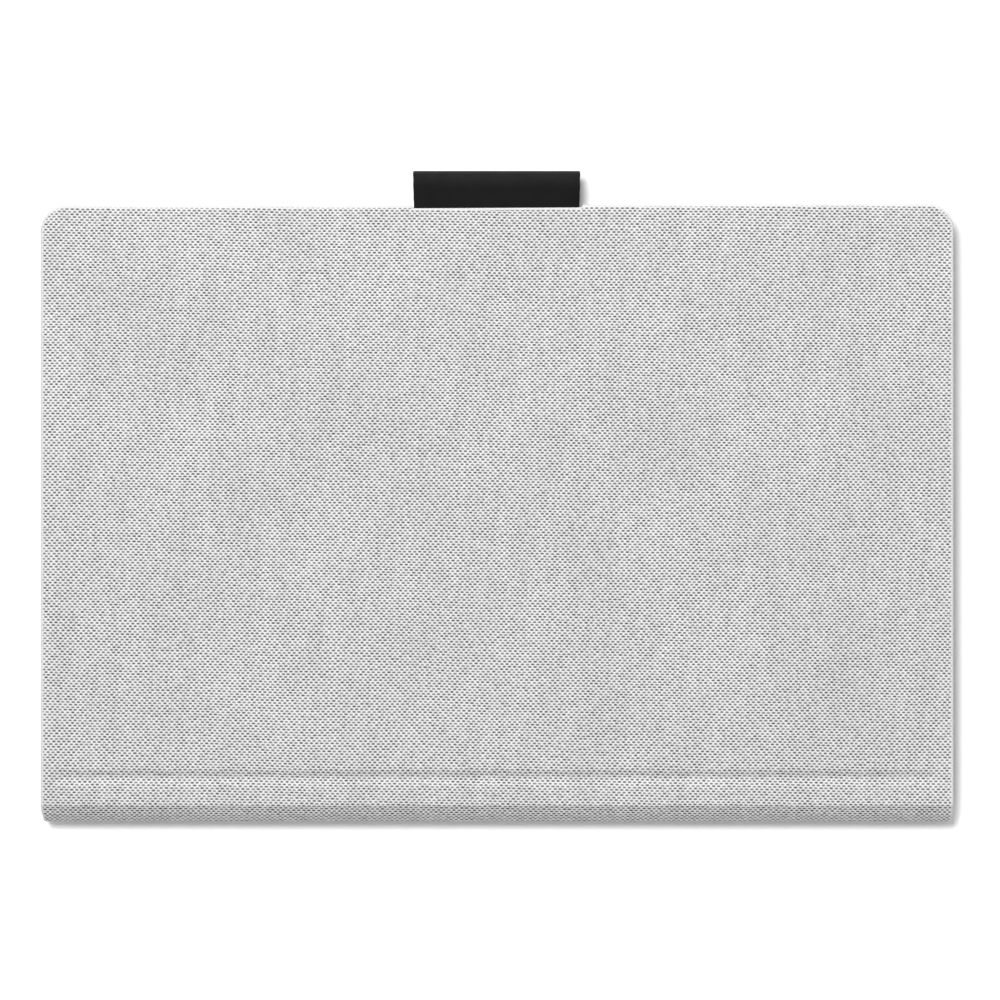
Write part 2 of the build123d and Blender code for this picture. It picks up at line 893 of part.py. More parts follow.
with BuildPart() as keyboard_top_case:
    add(rounded_block(0, deck_mid_y, 2 * deck_half_w, deck_d, deck_corner, deck_z, front_board_z))
    fillet(keyboard_top_case.faces().sort_by(Axis.Z)[0].edges(), deck_wall / 2)
    add(
        rounded_block(
            0,
            deck_mid_y,
            2 * wall_inner_x,
            deck_d - 2 * deck_wall,
            deck_corner - deck_wall,
            cavity_z,
            front_board_z,
        ),
        mode=Mode.SUBTRACT,
    )
    with BuildSketch(Plane.XY.offset(cavity_z)):
        with Locations(*screw_places):
            Circle(boss_r)
    extrude(amount=deck_cavity)
    add(key_sketch(all_keys, deck_z, key_opening_play))
    extrude(amount=deck_plate_t, mode=Mode.SUBTRACT)
    with BuildSketch(Plane.XY.offset(deck_z)):
        with Locations((0, pad_centre_y)):
            RectangleRounded(pad_opening_w, pad_opening_d, pad_corner)
        with Locations(*window_places):
            Circle(window_r)
    extrude(amount=deck_plate_t, mode=Mode.SUBTRACT)
    with BuildSketch(Plane.XY.offset(cavity_z)):
        with Locations(*screw_places):
            Circle(screw_r)
    extrude(amount=deck_cavity, mode=Mode.SUBTRACT)
    with Locations((deck_half_w, usb_y, usb_z)):
        Box(3 * deck_wall, usb_w, usb_h, mode=Mode.SUBTRACT)
    with Locations((-deck_half_w, switch_y + switch_travel / 2, usb_z)):
        Box(
            3 * deck_wall,
            switch_knob_len + switch_travel + 2 * slot_play,
            switch_knob_h + 2 * slot_play,
            mode=Mode.SUBTRACT,
        )
save(keyboard_top_case, "keyboard_top_case")

with BuildPart() as keyboard_base_plate:
    add(
        rounded_block(
            0,
            deck_mid_y,
            2 * (wall_inner_x - base_play),
            deck_d - 2 * (deck_wall + base_play),
            deck_corner - deck_wall,
            deck_base_z,
            front_board_z,
        )
    )
    with Locations(*[(x, y, front_board_z) for x, y in screw_places]):
        CounterBoreHole(screw_r, screw_head_r + base_play, screw_head_t, depth=deck_base_t)
save(keyboard_base_plate, "keyboard_base_plate")

with BuildPart() as deck_screws:
    with BuildSketch(Plane.XY.offset(front_board_z - screw_head_t)):
        with Locations(*screw_places):
            Circle(screw_head_r)
    extrude(amount=screw_head_t - base_play)
    with BuildSketch(Plane.XY.offset(front_board_z - screw_head_t)):
        with Locations(*screw_places):
            Circle(screw_r - running_clearance)
    extrude(amount=-screw_len)
save(deck_screws, "deck_screws")

sheet_w = row_units * key_unit
sheet_d = key_field_end_y - key_field_y
sheet_mid_y = (key_field_y + key_field_end_y) / 2

with BuildPart() as key_membrane:
    add(rounded_block(0, sheet_mid_y, sheet_w, sheet_d, sheet_corner, membrane_z, deck_base_z))
save(key_membrane, "key_membrane")

with BuildPart() as rubber_dome_sheet:
    add(rounded_block(0, sheet_mid_y, sheet_w, sheet_d, sheet_corner, dome_sheet_z, membrane_z))
    with BuildSketch(Plane.XY.offset(dome_sheet_z)):
        with Locations(*[(key_x(key), key[2]) for key in all_keys]):
            Circle(dome_r)
    extrude(amount=-(dome_sheet_z - key_flange_z - key_flange_t - dome_gap), taper=dome_taper)
save(rubber_dome_sheet, "rubber_dome_sheet")

# ---- Electronics in the palm rest ----

pcb_z = deck_base_z - pcb_under_base - pcb_t
pcb_x1 = wall_inner_x - pcb_from_wall
pcb_y0 = key_field_end_y + pcb_from_keys
pcb_y1 = deck_free_y - pcb_from_free

with BuildPart() as main_circuit_board:
    with BuildSketch(Plane.XY.offset(pcb_z)):
        with Locations(((pcb_x0 + pcb_x1) / 2, (pcb_y0 + pcb_y1) / 2)):
            Rectangle(pcb_x1 - pcb_x0, pcb_y1 - pcb_y0)
        with Locations((pcb_x1, usb_y)):
            Rectangle(2 * usb_d, usb_w + 1, mode=Mode.SUBTRACT)
    extrude(amount=pcb_t)
    with BuildSketch(Plane.XY.offset(pcb_z)):
        with Locations(*large_chip_places):
            Rectangle(large_chip_w, large_chip_w)
        with Locations(*small_chip_places):
            Rectangle(small_chip_w, small_chip_d)
    extrude(amount=-chip_t)
save(main_circuit_board, "main_circuit_board")

usb_shell_w = usb_w - 2 * usb_play
usb_shell_h = usb_h - 2 * usb_play

with BuildPart() as usb_socket:
    with BuildSketch(Plane.YZ.offset(deck_half_w - usb_sunk)):
        with Locations((usb_y, usb_z)):
            RectangleRounded(usb_shell_w, usb_shell_h, usb_corner)
    extrude(amount=-usb_d)
    with BuildSketch(Plane.YZ.offset(deck_half_w - usb_sunk)):
        with Locations((usb_y, usb_z)):
            RectangleRounded(
                usb_shell_w - 2 * usb_shell_t,
                usb_shell_h - 2 * usb_shell_t,
                usb_corner - usb_shell_t,
            )
            Rectangle(usb_tongue_w, usb_tongue_t, mode=Mode.SUBTRACT)
    extrude(amount=-(usb_d - 1), mode=Mode.SUBTRACT)
save(usb_socket, "usb_socket")

with BuildPart() as battery_cells:
    with BuildSketch(Plane.XY.offset(cavity_z + battery_gap)):
        with Locations(*battery_places):
            RectangleRounded(battery_w, battery_d, battery_corner)
    extrude(amount=battery_t)
save(battery_cells, "battery_cells")

with BuildPart() as status_windows:
    with BuildSketch(Plane.XY.offset(deck_z + window_sunk)):
        with Locations(*window_places):
            Circle(window_r - fixed_play)
    extrude(amount=window_len)
save(status_windows, "status_windows")

pad_z = deck_z + pad_sunk

with BuildPart() as touchpad:
    with BuildSketch(Plane.XY.offset(pad_z)):
        with Locations((0, pad_centre_y)):
            RectangleRounded(pad_w, pad_d, pad_corner)
    extrude(amount=pad_t)
    with BuildSketch(Plane.XY.offset(pad_z + pad_t)):
        with Locations((0, pad_centre_y)):
            RectangleRounded(pad_w + 2 * pad_flange, pad_d + 2 * pad_flange, pad_corner)
    extrude(amount=pad_flange_t)
save(touchpad, "touchpad")

pad_button_z = pad_z + pad_t + pad_flange_t + pad_switch_gap
pad_switch_y = pad_centre_y + pad_d / 2 - pad_switch_from_edge
pad_switch_z = pad_button_z + pad_button_t

with BuildPart() as touchpad_switch:
    with BuildSketch(Plane.XY.offset(pad_switch_z)):
        with Locations((0, pad_switch_y)):
            RectangleRounded(pad_switch_w, pad_switch_w, pad_switch_corner)
    extrude(amount=deck_base_z - pad_switch_z)
    with BuildSketch(Plane.XY.offset(pad_button_z)):
        with Locations((0, pad_switch_y)):
            Circle(pad_button_r)
    extrude(amount=pad_button_t)
save(touchpad_switch, "touchpad_switch")

switch_plate_x = -(wall_inner_x - switch_plate_gap)

with BuildPart() as power_switch:
    with BuildSketch(Plane.YZ.offset(switch_plate_x)):
        with Locations((switch_y, usb_z)):
            Rectangle(switch_plate_len, switch_plate_h)
    extrude(amount=switch_plate_t)
    with BuildSketch(Plane.YZ.offset(switch_plate_x)):
        with Locations((switch_y, usb_z)):
            RectangleRounded(switch_knob_len, switch_knob_h, switch_knob_corner)
    extrude(amount=-(deck_wall + switch_knob_out + switch_plate_gap))
save(power_switch, "power_switch")

bumper_places = [(side * bumper_x, y) for side in (-1, 1) for y in bumper_y]
bumper_z = rim_top_z + bumper_gap

with BuildPart() as deck_bumpers:
    with BuildSketch(Plane.XY.offset(bumper_z)):
        with Locations(*bumper_places):
            SlotOverall(bumper_len, bumper_w, rotation=90)
    extrude(amount=deck_z - bumper_z)
save(deck_bumpers, "deck_bumpers")
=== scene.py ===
import json
import math

import bmesh
import bpy
import numpy as np
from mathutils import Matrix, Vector

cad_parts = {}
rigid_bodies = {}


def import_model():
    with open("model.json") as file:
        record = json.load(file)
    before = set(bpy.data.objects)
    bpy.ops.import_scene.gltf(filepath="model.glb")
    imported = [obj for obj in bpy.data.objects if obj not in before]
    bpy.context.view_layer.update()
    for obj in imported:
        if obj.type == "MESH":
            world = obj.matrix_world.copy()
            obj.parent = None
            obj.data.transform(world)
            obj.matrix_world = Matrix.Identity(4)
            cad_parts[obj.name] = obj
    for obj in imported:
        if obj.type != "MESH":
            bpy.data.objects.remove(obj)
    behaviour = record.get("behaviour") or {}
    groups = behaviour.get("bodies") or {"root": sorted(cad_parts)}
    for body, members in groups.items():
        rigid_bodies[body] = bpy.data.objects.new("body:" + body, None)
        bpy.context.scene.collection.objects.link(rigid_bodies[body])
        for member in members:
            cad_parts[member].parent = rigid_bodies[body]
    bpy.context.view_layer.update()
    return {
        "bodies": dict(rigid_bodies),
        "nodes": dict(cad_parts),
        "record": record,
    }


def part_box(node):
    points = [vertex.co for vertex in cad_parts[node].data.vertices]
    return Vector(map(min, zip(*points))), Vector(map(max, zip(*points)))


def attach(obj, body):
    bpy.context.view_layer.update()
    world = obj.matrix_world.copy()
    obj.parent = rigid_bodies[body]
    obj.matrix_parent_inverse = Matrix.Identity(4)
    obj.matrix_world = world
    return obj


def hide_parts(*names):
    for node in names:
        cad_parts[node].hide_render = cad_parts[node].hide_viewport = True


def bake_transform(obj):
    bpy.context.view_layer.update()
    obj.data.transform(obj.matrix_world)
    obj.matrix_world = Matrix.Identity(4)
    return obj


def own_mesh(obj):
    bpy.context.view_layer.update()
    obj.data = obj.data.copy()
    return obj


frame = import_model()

# Tablet keyboard case, closed and lying on its rear cover. All lengths are in metres.
MM = 0.001

# ---- Places read from the CAD frame ----

front_low, front_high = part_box("front_cover_fabric")
HALF_W = front_high.x
FREE_Y = front_high.y
TOP_Z = front_high.z
CREASE_Y = front_low.y
SPINE_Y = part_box("spine_fabric")[0].y
loop_low, loop_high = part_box("pen_loop")
LOOP_HALF = loop_high.x
web_low, web_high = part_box("rubber_dome_sheet")

# ---- Shape of the closed cover ----

CORNER_R = 8 * MM  # plan corners at the free ends
SPINE_BULGE = 0.95 * MM  # how far the soft spine stands proud of its board

# The spine's upper rolled edge: two facets with soft corners, as (reach over the face, drop below it)
ROLL = ((5.5 * MM, 0.0), (2.3 * MM, 2.0 * MM), (0.0, 4.8 * MM))
ROLL_SOFT = (2.2 * MM, 3.0 * MM, 1.9 * MM)
ROLL_DEPTH = ROLL[0][0] - SPINE_BULGE
LOWER_ROLL_R = 5.4 * MM

# The spine's ends are trimmed a little shorter than the covers, more on the left than on the right
SPINE_NARROWING = {-1: 0.95 * MM, 1: 0.4 * MM}
NARROWING_RUN = 6.5 * MM
NARROWING_LEAD = 0.6 * MM
NARROWING_SHARE = 0.93  # how much of a quarter circle the trim follows

# The front cover's free edge runs a little out of square, and dips where the pen loop is tucked under it
EDGE_SKEW = 0.3 * MM
SKEW_FROM_X = -60 * MM
SKEW_RUN = 160 * MM
SKEW_REACH = 60 * MM  # the skew dies out this far back from the free edge
SKEW_FADE = 50 * MM
LOOP_DIP = 0.85 * MM
DIP_MARGIN = 0.2 * MM
DIP_SIDE = 0.7 * MM
DIP_REACH = 1.6 * MM
DIP_FADE = 1.2 * MM

# The pressed crease, which the lining follows as a ridge on its own side
CREASE_SHIFT = 0.6 * MM  # towards the spine from the edge of the cover's board
GROOVE_HALF = 3.1 * MM
GROOVE_DEPTH = 0.85 * MM
LINING_RIDGE = 0.45 * MM
GROOVE_MARGIN = 3.5 * MM  # left flat at the cover's two ends
GROOVE_FADE = 5 * MM


def ease(t):
    """A smooth step from 0 to 1."""
    t = min(max(t, 0.0), 1.0)
    return t * t * (3 - 2 * t)


# ---- Mesh helpers ----


def new_mesh(name, verts, faces):
    """A smooth-shaded object from plain lists, linked to the scene."""
    mesh = bpy.data.meshes.new(name)
    mesh.from_pydata([tuple(v) for v in verts], [], faces)
    mesh.validate()
    mesh.shade_smooth()
    obj = bpy.data.objects.new(name, mesh)
    bpy.context.scene.collection.objects.link(obj)
    return obj


def sharpen(obj, degrees):
    """Keeps folds steeper than this angle crisp under smooth shading."""
    obj.data.set_sharp_from_angle(angle=math.radians(degrees))


def closed_mesh(name, shapes, crease):
    """An object of closed shapes. A shape is a list of rings of points, all of one length."""
    verts, faces = [], []
    for rings in shapes:
        n = len(rings[0])
        first = len(verts)
        last = first + (len(rings) - 1) * n
        for ring in rings:
            verts.extend(ring)
        for start in range(first, last, n):
            for i in range(n):
                a, b = start + i, start + (i + 1) % n
                faces.append((a, b, b + n, a + n))
        faces.append(tuple(range(first, first + n))[::-1])
        faces.append(tuple(range(last, last + n)))
    obj = new_mesh(name, verts, faces)
    work = bmesh.new()
    work.from_mesh(obj.data)
    bmesh.ops.recalc_face_normals(work, faces=work.faces)
    work.to_mesh(obj.data)
    work.free()
    sharpen(obj, crease)
    return obj


def rounded_ring(cx, cy, half_x, half_y, r, z, corner_steps=5):
    """Points of a rounded rectangle at one height, anticlockwise."""
    r = min(r, half_x * 0.98, half_y * 0.98)
    ring = []
    for sx, sy, first in ((1, 1, 0), (-1, 1, 90), (-1, -1, 180), (1, -1, 270)):
        for i in range(corner_steps + 1):
            a = math.radians(first + 90 * i / corner_steps)
            x = cx + sx * (half_x - r) + r * math.cos(a)
            y = cy + sy * (half_y - r) + r * math.sin(a)
            ring.append((x, y, z))
    return ring


# ---- The path of the outer skin round the case, from free edge to free edge ----


class SkinPath:
    """A line of straight runs and rounded corners in the YZ plane, measured by its length."""

    def __init__(self, corners, radii):
        self.runs = []
        self.length = 0.0
        here = Vector(corners[0])
        for i in range(1, len(corners) - 1):
            corner = Vector(corners[i])
            into = (corner - Vector(corners[i - 1])).normalized()
            out = (Vector(corners[i + 1]) - corner).normalized()
            turn = into.angle(out)
            reach = radii[i - 1] * math.tan(turn / 2)
            self._line(here, corner - into * reach)
            self._arc(corner - into * reach, into, turn, radii[i - 1])
            here = corner + out * reach
        self._line(here, Vector(corners[-1]))

    def _line(self, a, b):
        self.runs.append(("line", self.length, (b - a).length, a, (b - a).normalized(), 0))
        self.length += (b - a).length

    def _arc(self, a, heading, turn, radius):
        self.runs.append(("arc", self.length, turn * radius, a, heading, radius))
        self.length += turn * radius

    def at(self, s):
        """Point on the path and the direction into the case, at length s."""
        kind, start, _, a, heading, radius = [run for run in self.runs if run[1] <= max(s, 0.0)][-1]
        inward = Vector((-heading.y, heading.x))
        if kind == "line":
            return a + heading * (s - start), inward
        angle = (s - start) / radius
        centre = a + inward * radius
        turned = Vector((
            inward.x * math.cos(angle) - inward.y * math.sin(angle),
            inward.x * math.sin(angle) + inward.y * math.cos(angle),
        ))
        return centre - turned * radius, turned


upper_roll = [(SPINE_Y - SPINE_BULGE + reach, TOP_Z - drop) for reach, drop in ROLL]
skin_path = SkinPath(
    [(FREE_Y, TOP_Z), *upper_roll, (SPINE_Y - SPINE_BULGE, 0.0), (FREE_Y, 0.0)],
    [*ROLL_SOFT, LOWER_ROLL_R],
)
FULL_S = skin_path.length
CREASE_S = FREE_Y - CREASE_Y + CREASE_SHIFT
STRIP_MID_S = CREASE_S + (CREASE_Y - SPINE_Y - ROLL_DEPTH) / 2
SPINE_MID_S = FULL_S / 2
ROLL_S = FREE_Y - SPINE_Y - ROLL_DEPTH  # where the flat face ends and the upper roll begins
ROLL_FROM_MID = SPINE_MID_S - ROLL_S


def half_width(s, side):
    """Half width of the case along the path; the spine is a little narrower than the covers."""
    t = (ROLL_FROM_MID + NARROWING_LEAD - abs(s - SPINE_MID_S)) / NARROWING_RUN
    t = NARROWING_SHARE * min(max(t, 0.0), 1.0)
    return HALF_W - SPINE_NARROWING[side] * (1 - math.sqrt(1 - t**2))


def groove(x, s, depth):
    """How far the crease pulls the sheet in at a point."""
    t = (s - CREASE_S) / GROOVE_HALF
    if abs(t) >= 1:
        return 0.0
    fade = ease((HALF_W - abs(x) - GROOVE_MARGIN) / GROOVE_FADE)
    return depth * fade * (0.5 + 0.5 * math.cos(math.pi * t))


def free_edge_stray(x, s):
    """How far the front cover's free edge strays from a straight line, outwards."""
    skew = EDGE_SKEW * (2 * ease((x - SKEW_FROM_X) / SKEW_RUN) - 1) * ease((SKEW_REACH - s) / SKEW_FADE)
    beside_loop = (abs(x) - LOOP_HALF - DIP_MARGIN) / DIP_SIDE
    return skew - LOOP_DIP * (1 - ease(beside_loop)) * ease((DIP_REACH - s) / DIP_FADE)


# ---- Sheets: the woven skin and the lining, in unrolled lengths ----

# Each edge profile runs from under the edge round to the flat face: (distance in from the edge, depth)
SKIN_EDGE = [
    (2.4, 2.02), (1.7, 2.16), (1.1, 2.2), (0.7, 2.17), (0.3, 2.05), (0.0, 1.85), (-0.18, 1.58),
    (-0.25, 1.25), (-0.25, 0.95), (-0.17, 0.68), (0.0, 0.42), (0.22, 0.22), (0.52, 0.1), (0.85, 0.02),
    (1.3, 0.0), (2.5, 0.0), (4.5, 0.0), (7.5, 0.0),
]
LINING_EDGE = [
    (1.8, 2.02), (1.56, 2.06), (1.44, 2.14), (1.42, 2.22), (1.5, 2.29), (1.7, 2.32), (2.2, 2.33),
    (4.5, 2.33), (7.5, 2.33),
]
SHEET_T = 0.35 * MM
SHEET_CREASE = 50  # degrees
SURFACE_DEPTH = 0.2 * MM  # the crease presses in the parts of a sheet that lie less deep than this
RIM_W = 0.85 * MM  # the turned edge, where the weave closes up
RIM_FADE = 0.45 * MM

# The lining stays on the boards, so it lies deeper under the spine's bulging skin
BULGE_HALF = 5 * MM
BULGE_FADE = 6 * MM

# Spacing of a sheet's rows and columns
COLUMN_STEP = 9 * MM
ROW_STEP = 12 * MM
ROW_LEAST = 0.12 * MM
ARC_STEPS = 7
GROOVE_STEPS = 10
GROOVE_SHOULDER = 1.5 * MM
FACET_LONGEST = 6 * MM

# A free end is closed by rings that follow its rounded outline, up to END_S from the edge
END_S = 22 * MM
END_SIDES = (12 * MM, 16 * MM, END_S)
END_STEP = 12 * MM
CORNER_STEPS = 12
BESIDE_LOOP = (-0.5, 0.2, 0.4, 0.55, 0.7, 0.9, 1.4)  # mm past the loop's ends, where the edge dips


def wrap_lengths(edge):
    """Length along the edge profile, outwards from its flat end, for the cloth coordinate."""
    lengths = [0.0]
    for (d0, z0), (d1, z1) in zip(edge[::-1], edge[::-1][1:]):
        lengths.append(lengths[-1] + math.hypot(d1 - d0, z1 - z0))
    return [length * MM for length in lengths[::-1]]


def row_places(s_from, s_to):
    """Rows along a panel: close together in the crease and the rolled edges, wide apart on the flats."""
    marks = {s_from, s_to}
    for kind, start, length, *_ in skin_path.runs:
        if kind == "arc":
            marks.update(start + length * i / ARC_STEPS for i in range(ARC_STEPS + 1))
        elif length < FACET_LONGEST:
            marks.update((start + length / 3, start + length * 2 / 3))
    marks.update(CREASE_S + GROOVE_HALF * i / GROOVE_STEPS for i in range(-GROOVE_STEPS, GROOVE_STEPS + 1))
    marks.update(CREASE_S + side * (GROOVE_HALF + GROOVE_SHOULDER) for side in (-1, 1))
    marks.update(np.arange(END_S, FULL_S - END_S, ROW_STEP))
    inside = sorted(s for s in marks if s_from <= s <= s_to)
    kept = [inside[0]]
    for s in inside[1:]:
        if s - kept[-1] > ROW_LEAST:
            kept.append(s)
    kept[-1] = s_to
    return kept


def end_spots():
    """Places round a free end, left to right: a point inside the outline and the direction out from it."""
    inner = HALF_W - CORNER_R
    quarter = [math.pi / 2 * i / CORNER_STEPS for i in range(CORNER_STEPS + 1)]
    across = round(2 * inner / END_STEP)
    places = {-inner + 2 * inner * i / across for i in range(1, across)}
    places |= {side * (LOOP_HALF + step * MM) for side in (-1, 1) for step in BESIDE_LOOP}
    return [
        *[((-inner, s), (-1, 0)) for s in END_SIDES[::-1]],
        *[((-inner, CORNER_R), (-math.cos(a), -math.sin(a))) for a in quarter],
        *[((x, CORNER_R), (0, -1)) for x in sorted(places)],
        *[((inner, CORNER_R), (math.sin(a), -math.cos(a))) for a in quarter],
        *[((inner, s), (1, 0)) for s in END_SIDES],
    ]


class Sheet:
    """One panel of skin or lining, from s_from to s_to along the path.

    free_end says which of its ends has the rounded corners: "low", "high" or None. Inside the sheet,
    lengths count from that end.
    """

    def __init__(self, s_from, s_to, free_end, is_lining):
        self.s_from = s_from
        self.s_to = s_to
        self.free_end = free_end
        self.is_lining = is_lining
        self.groove_depth = -LINING_RIDGE if is_lining else GROOVE_DEPTH
        edge = LINING_EDGE if is_lining else SKIN_EDGE
        self.edge = [(d * MM, depth * MM, wrap) for (d, depth), wrap in zip(edge, wrap_lengths(edge))]
        self.flat_d, self.flat_depth, _ = self.edge[-1]
        self.verts, self.cloth, self.rim, self.faces = [], [], [], []

    def flip(self, s):
        """Turns a length along the whole path into one inside the sheet, or back."""
        return FULL_S - s if self.free_end == "high" else s

    def put(self, x, s, depth, u, v, from_edge=HALF_W):
        """Adds a vertex under the path, with its cloth coordinate, and gives its number."""
        s_path = self.flip(s)
        point, inward = skin_path.at(s_path)
        self.rim.append(ease((RIM_W - from_edge) / RIM_FADE))
        if abs(depth - self.flat_depth) < 1e-9 or abs(depth) < SURFACE_DEPTH:
            depth += groove(x, s_path, self.groove_depth)
        if self.is_lining:
            depth += SPINE_BULGE * (1 - ease((abs(s_path - SPINE_MID_S) - BULGE_HALF) / BULGE_FADE))
        stray = free_edge_stray(x, s_path) if self.free_end == "low" else 0.0
        self.verts.append((x, point.x + inward.x * depth + stray, point.y + inward.y * depth))
        self.cloth.append((u, self.flip(v), 0.0))
        return len(self.verts) - 1

    def join(self, a, b):
        """Fills the faces between two lines of vertices."""
        for i in range(len(a) - 1):
            self.faces.append((a[i], b[i], b[i + 1], a[i + 1]))

    def row(self, s):
        """One row of vertices from the left edge to the right edge."""
        left, right = -half_width(self.flip(s), -1), half_width(self.flip(s), 1)
        flat_left, flat_right = left + self.flat_d, right - self.flat_d
        line = [self.put(left + d, s, depth, flat_left - wrap, s, d) for d, depth, wrap in self.edge]
        columns = round((HALF_W - self.flat_d) * 2 / COLUMN_STEP)
        for i in range(1, columns):
            x = flat_left + (flat_right - flat_left) * i / columns
            line.append(self.put(x, s, self.flat_depth, x, s))
        line += [self.put(right - d, s, depth, flat_right + wrap, s, d) for d, depth, wrap in self.edge[::-1]]
        return line

    def fill(self):
        """Lays the rows, and at a free end the rings and the flat face inside them."""
        low, high = sorted((self.flip(self.s_from), self.flip(self.s_to)))
        if self.free_end:
            low = END_S
        places = row_places(*sorted((self.flip(low), self.flip(high))))
        grid = [self.row(s) for s in sorted(self.flip(s) for s in places)]
        for a, b in zip(grid, grid[1:]):
            self.join(a, b)
        if not self.free_end:
            return
        rings = []
        for d, depth, wrap in self.edge:
            out, unrolled = CORNER_R - d, CORNER_R - self.flat_d + wrap
            rings.append([
                self.put(x + dx * out, s + ds * out, depth, x + dx * unrolled, s + ds * unrolled, d)
                for (x, s), (dx, ds) in end_spots()
            ])
        for a, b in zip(rings, rings[1:]):
            self.join(a, b)
        turned = len(self.edge)
        self.faces.append((*rings[-1], *grid[0][turned:-turned][::-1]))

    def facing(self, place):
        """Out of the case for skin and into it for lining, at the point of the path nearest to a place."""
        steps = 40
        lengths = [self.s_from + (self.s_to - self.s_from) * i / steps for i in range(steps + 1)]
        spots = [skin_path.at(s) for s in lengths]
        _, inward = min(spots, key=lambda spot: (spot[0] - Vector((place.y, place.z))).length)
        return Vector((0, inward.x, inward.y)) * (1 if self.is_lining else -1)

    def build(self, name):
        """The sheet as an object with thickness, whose visible side faces the right way."""
        self.fill()
        obj = new_mesh(name, self.verts, self.faces)
        cloth = obj.data.attributes.new("cloth", "FLOAT_VECTOR", "POINT")
        cloth.data.foreach_set("vector", np.array(self.cloth, np.float32).ravel())
        turned = obj.data.attributes.new("turned_edge", "FLOAT", "POINT")
        turned.data.foreach_set("value", np.array(self.rim, np.float32))
        work = bmesh.new()
        work.from_mesh(obj.data)
        bmesh.ops.remove_doubles(work, verts=work.verts, dist=2e-6)
        bmesh.ops.recalc_face_normals(work, faces=work.faces)
        biggest = max(work.faces, key=lambda face: face.calc_area())
        if biggest.normal.dot(self.facing(biggest.calc_center_median())) < 0:
            bmesh.ops.reverse_faces(work, faces=work.faces)
        work.to_mesh(obj.data)
        work.free()
        thick = obj.modifiers.new("thickness", "SOLIDIFY")
        thick.thickness = SHEET_T
        thick.offset = -1
        graph = bpy.context.evaluated_depsgraph_get()
        graph.update()
        solid = bpy.data.meshes.new_from_object(obj.evaluated_get(graph))
        obj.modifiers.clear()
        obj.data = solid
        sharpen(obj, SHEET_CREASE)
        return obj


front_skin = Sheet(0.0, STRIP_MID_S, "low", False).build("front_skin")
spine_skin = Sheet(STRIP_MID_S, SPINE_MID_S, None, False).build("spine_skin")
rear_skin = Sheet(SPINE_MID_S, FULL_S, "high", False).build("rear_skin")
front_lining = Sheet(0.0, STRIP_MID_S, "low", True).build("front_lining")
spine_lining = Sheet(STRIP_MID_S, SPINE_MID_S, None, True).build("spine_lining_sheet")
rear_lining = Sheet(SPINE_MID_S, FULL_S, "high", True).build("rear_lining")


# ---- Pen loop: one strip wound into a tube, with its tail under the cover's edge ----

LOOP_R = (loop_high.z - loop_low.z) / 2
LOOP_WALL = 0.9 * MM
LOOP_SOFT = 0.3 * MM  # radius of the strap's cut edges
LOOP_SOFT_STEPS = 4
LOOP_TUCK = 0.2 * MM  # the tube sits this much nearer to the cover than the CAD's
LOOP_TAIL_STEPS = 10
LOOP_TURN = 352  # degrees
LOOP_TURN_STEPS = 60
LOOP_SINK = 0.55 * LOOP_WALL  # the strap's end goes this far under its tail
LOOP_SINK_FROM = 300  # degrees
LOOP_TAPER = 0.25 * MM  # each end of the tube steps in this far at the cover
LOOP_WAVE = 0.05 * MM
LOOP_WAVE_PER_STEP = 0.7
LOOP_LEFT_EXTRA = 0.3 * MM


def pen_loop_strip():
    """The strap's mid-line runs straight out of the cover, then once round the pen."""
    tube_y = loop_high.y - LOOP_R - LOOP_TUCK
    tube_z = loop_high.z - LOOP_R
    mid_r = LOOP_R - LOOP_WALL / 2
    line = []
    for i in range(LOOP_TAIL_STEPS):
        line.append((loop_low.y + (tube_y - loop_low.y) * i / LOOP_TAIL_STEPS, tube_z + mid_r, 0.0))
    for i in range(LOOP_TURN_STEPS + 1):
        turned = LOOP_TURN * i / LOOP_TURN_STEPS
        r = mid_r - LOOP_SINK * ease((turned - LOOP_SINK_FROM) / (LOOP_TURN - LOOP_SINK_FROM))
        angle = math.radians(turned)
        line.append((tube_y + r * math.sin(angle), tube_z + r * math.cos(angle), angle))
    rings = []
    for k, (y, z, angle) in enumerate(line):
        half_len = LOOP_HALF - LOOP_TAPER * ease((loop_high.y - y) / (2 * LOOP_R))
        half_len += LOOP_WAVE * math.sin(k * LOOP_WAVE_PER_STEP)
        section = rounded_ring(0, 0, half_len, LOOP_WALL / 2, LOOP_SOFT, 0, LOOP_SOFT_STEPS)
        rings.append([
            (x - (LOOP_LEFT_EXTRA if x < 0 else 0.0), y + math.sin(angle) * t, z + math.cos(angle) * t)
            for x, t, _ in section
        ])
    return closed_mesh("pen_loop_strap", [rings], 60)


pen_loop = pen_loop_strip()


# ---- Key caps: dished tops and rounded edges, one per key of each CAD group ----

# A cap's rows run from its flange to its touched face, which is its low side, since the keys face down in
# the closed case. A row is (growth of the outline, height above the flange's or the face's own), in mm.
KEY_FLANGE = 0.55
KEY_FLANGE_ROWS = [(KEY_FLANGE, 0.0), (KEY_FLANGE, -0.33), (0.0, -0.36)]
KEY_FACE_ROWS = [(0.0, 1.1), (-0.22, 0.55), (-0.4, 0.2), (-0.58, 0.06), (-0.85, 0.0), (-1.3, 0.02)]
KEY_CORNER_R = 1.4
KEY_CORNER_LEAST = 0.35
KEY_DISH = 0.16
KEY_DISH_SHARES = (0.3, 0.55, 0.8)  # of the way from the last face row to the middle of the key

HOME_BAR_HALF = (2.0, 0.4)
HOME_BAR_FROM_SIDE = 3.6
HOME_BAR_ROWS = [(0.0, 0.1), (0.0, -0.08), (-0.14, -0.18)]
HOME_BAR_KEYS = (3, 6)  # counted along the home row


